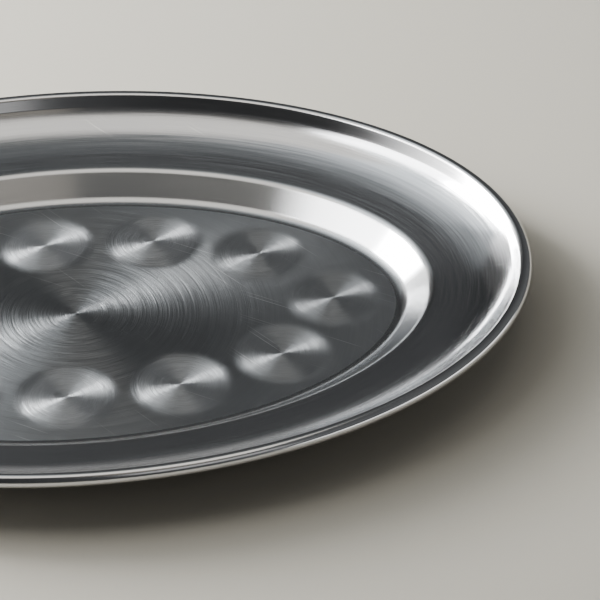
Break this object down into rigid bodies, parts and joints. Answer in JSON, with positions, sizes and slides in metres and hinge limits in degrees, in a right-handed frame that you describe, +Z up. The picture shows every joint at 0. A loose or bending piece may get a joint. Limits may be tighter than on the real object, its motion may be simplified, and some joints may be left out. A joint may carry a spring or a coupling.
{
  "type": "oval serving platter",
  "caption": "Oval stainless steel serving platter: a shallow well in a wide gently rising flange, with an upswept lip and a rolled rim over a wire ring.",
  "frame": {"origin": "middle of the flat underside of the floor, on the surface that the platter stands on", "axes": "+X along the long axis of the oval, +Y along the short axis, +Z up"},
  "size_m": [0.3, 0.215, 0.0216],
  "materials": {
    "tray_steel": "floor brushed in a large central swirl and a ring of round spots, satin flange brushed along the oval, polished well wall, lip and rolled rim",
    "wire_steel": "plain drawn steel wire"
  },
  "bodies": {
    "root": {"pressed_tray": "tray_steel", "rim_wire": "wire_steel"}
  },
  "joints": []
}
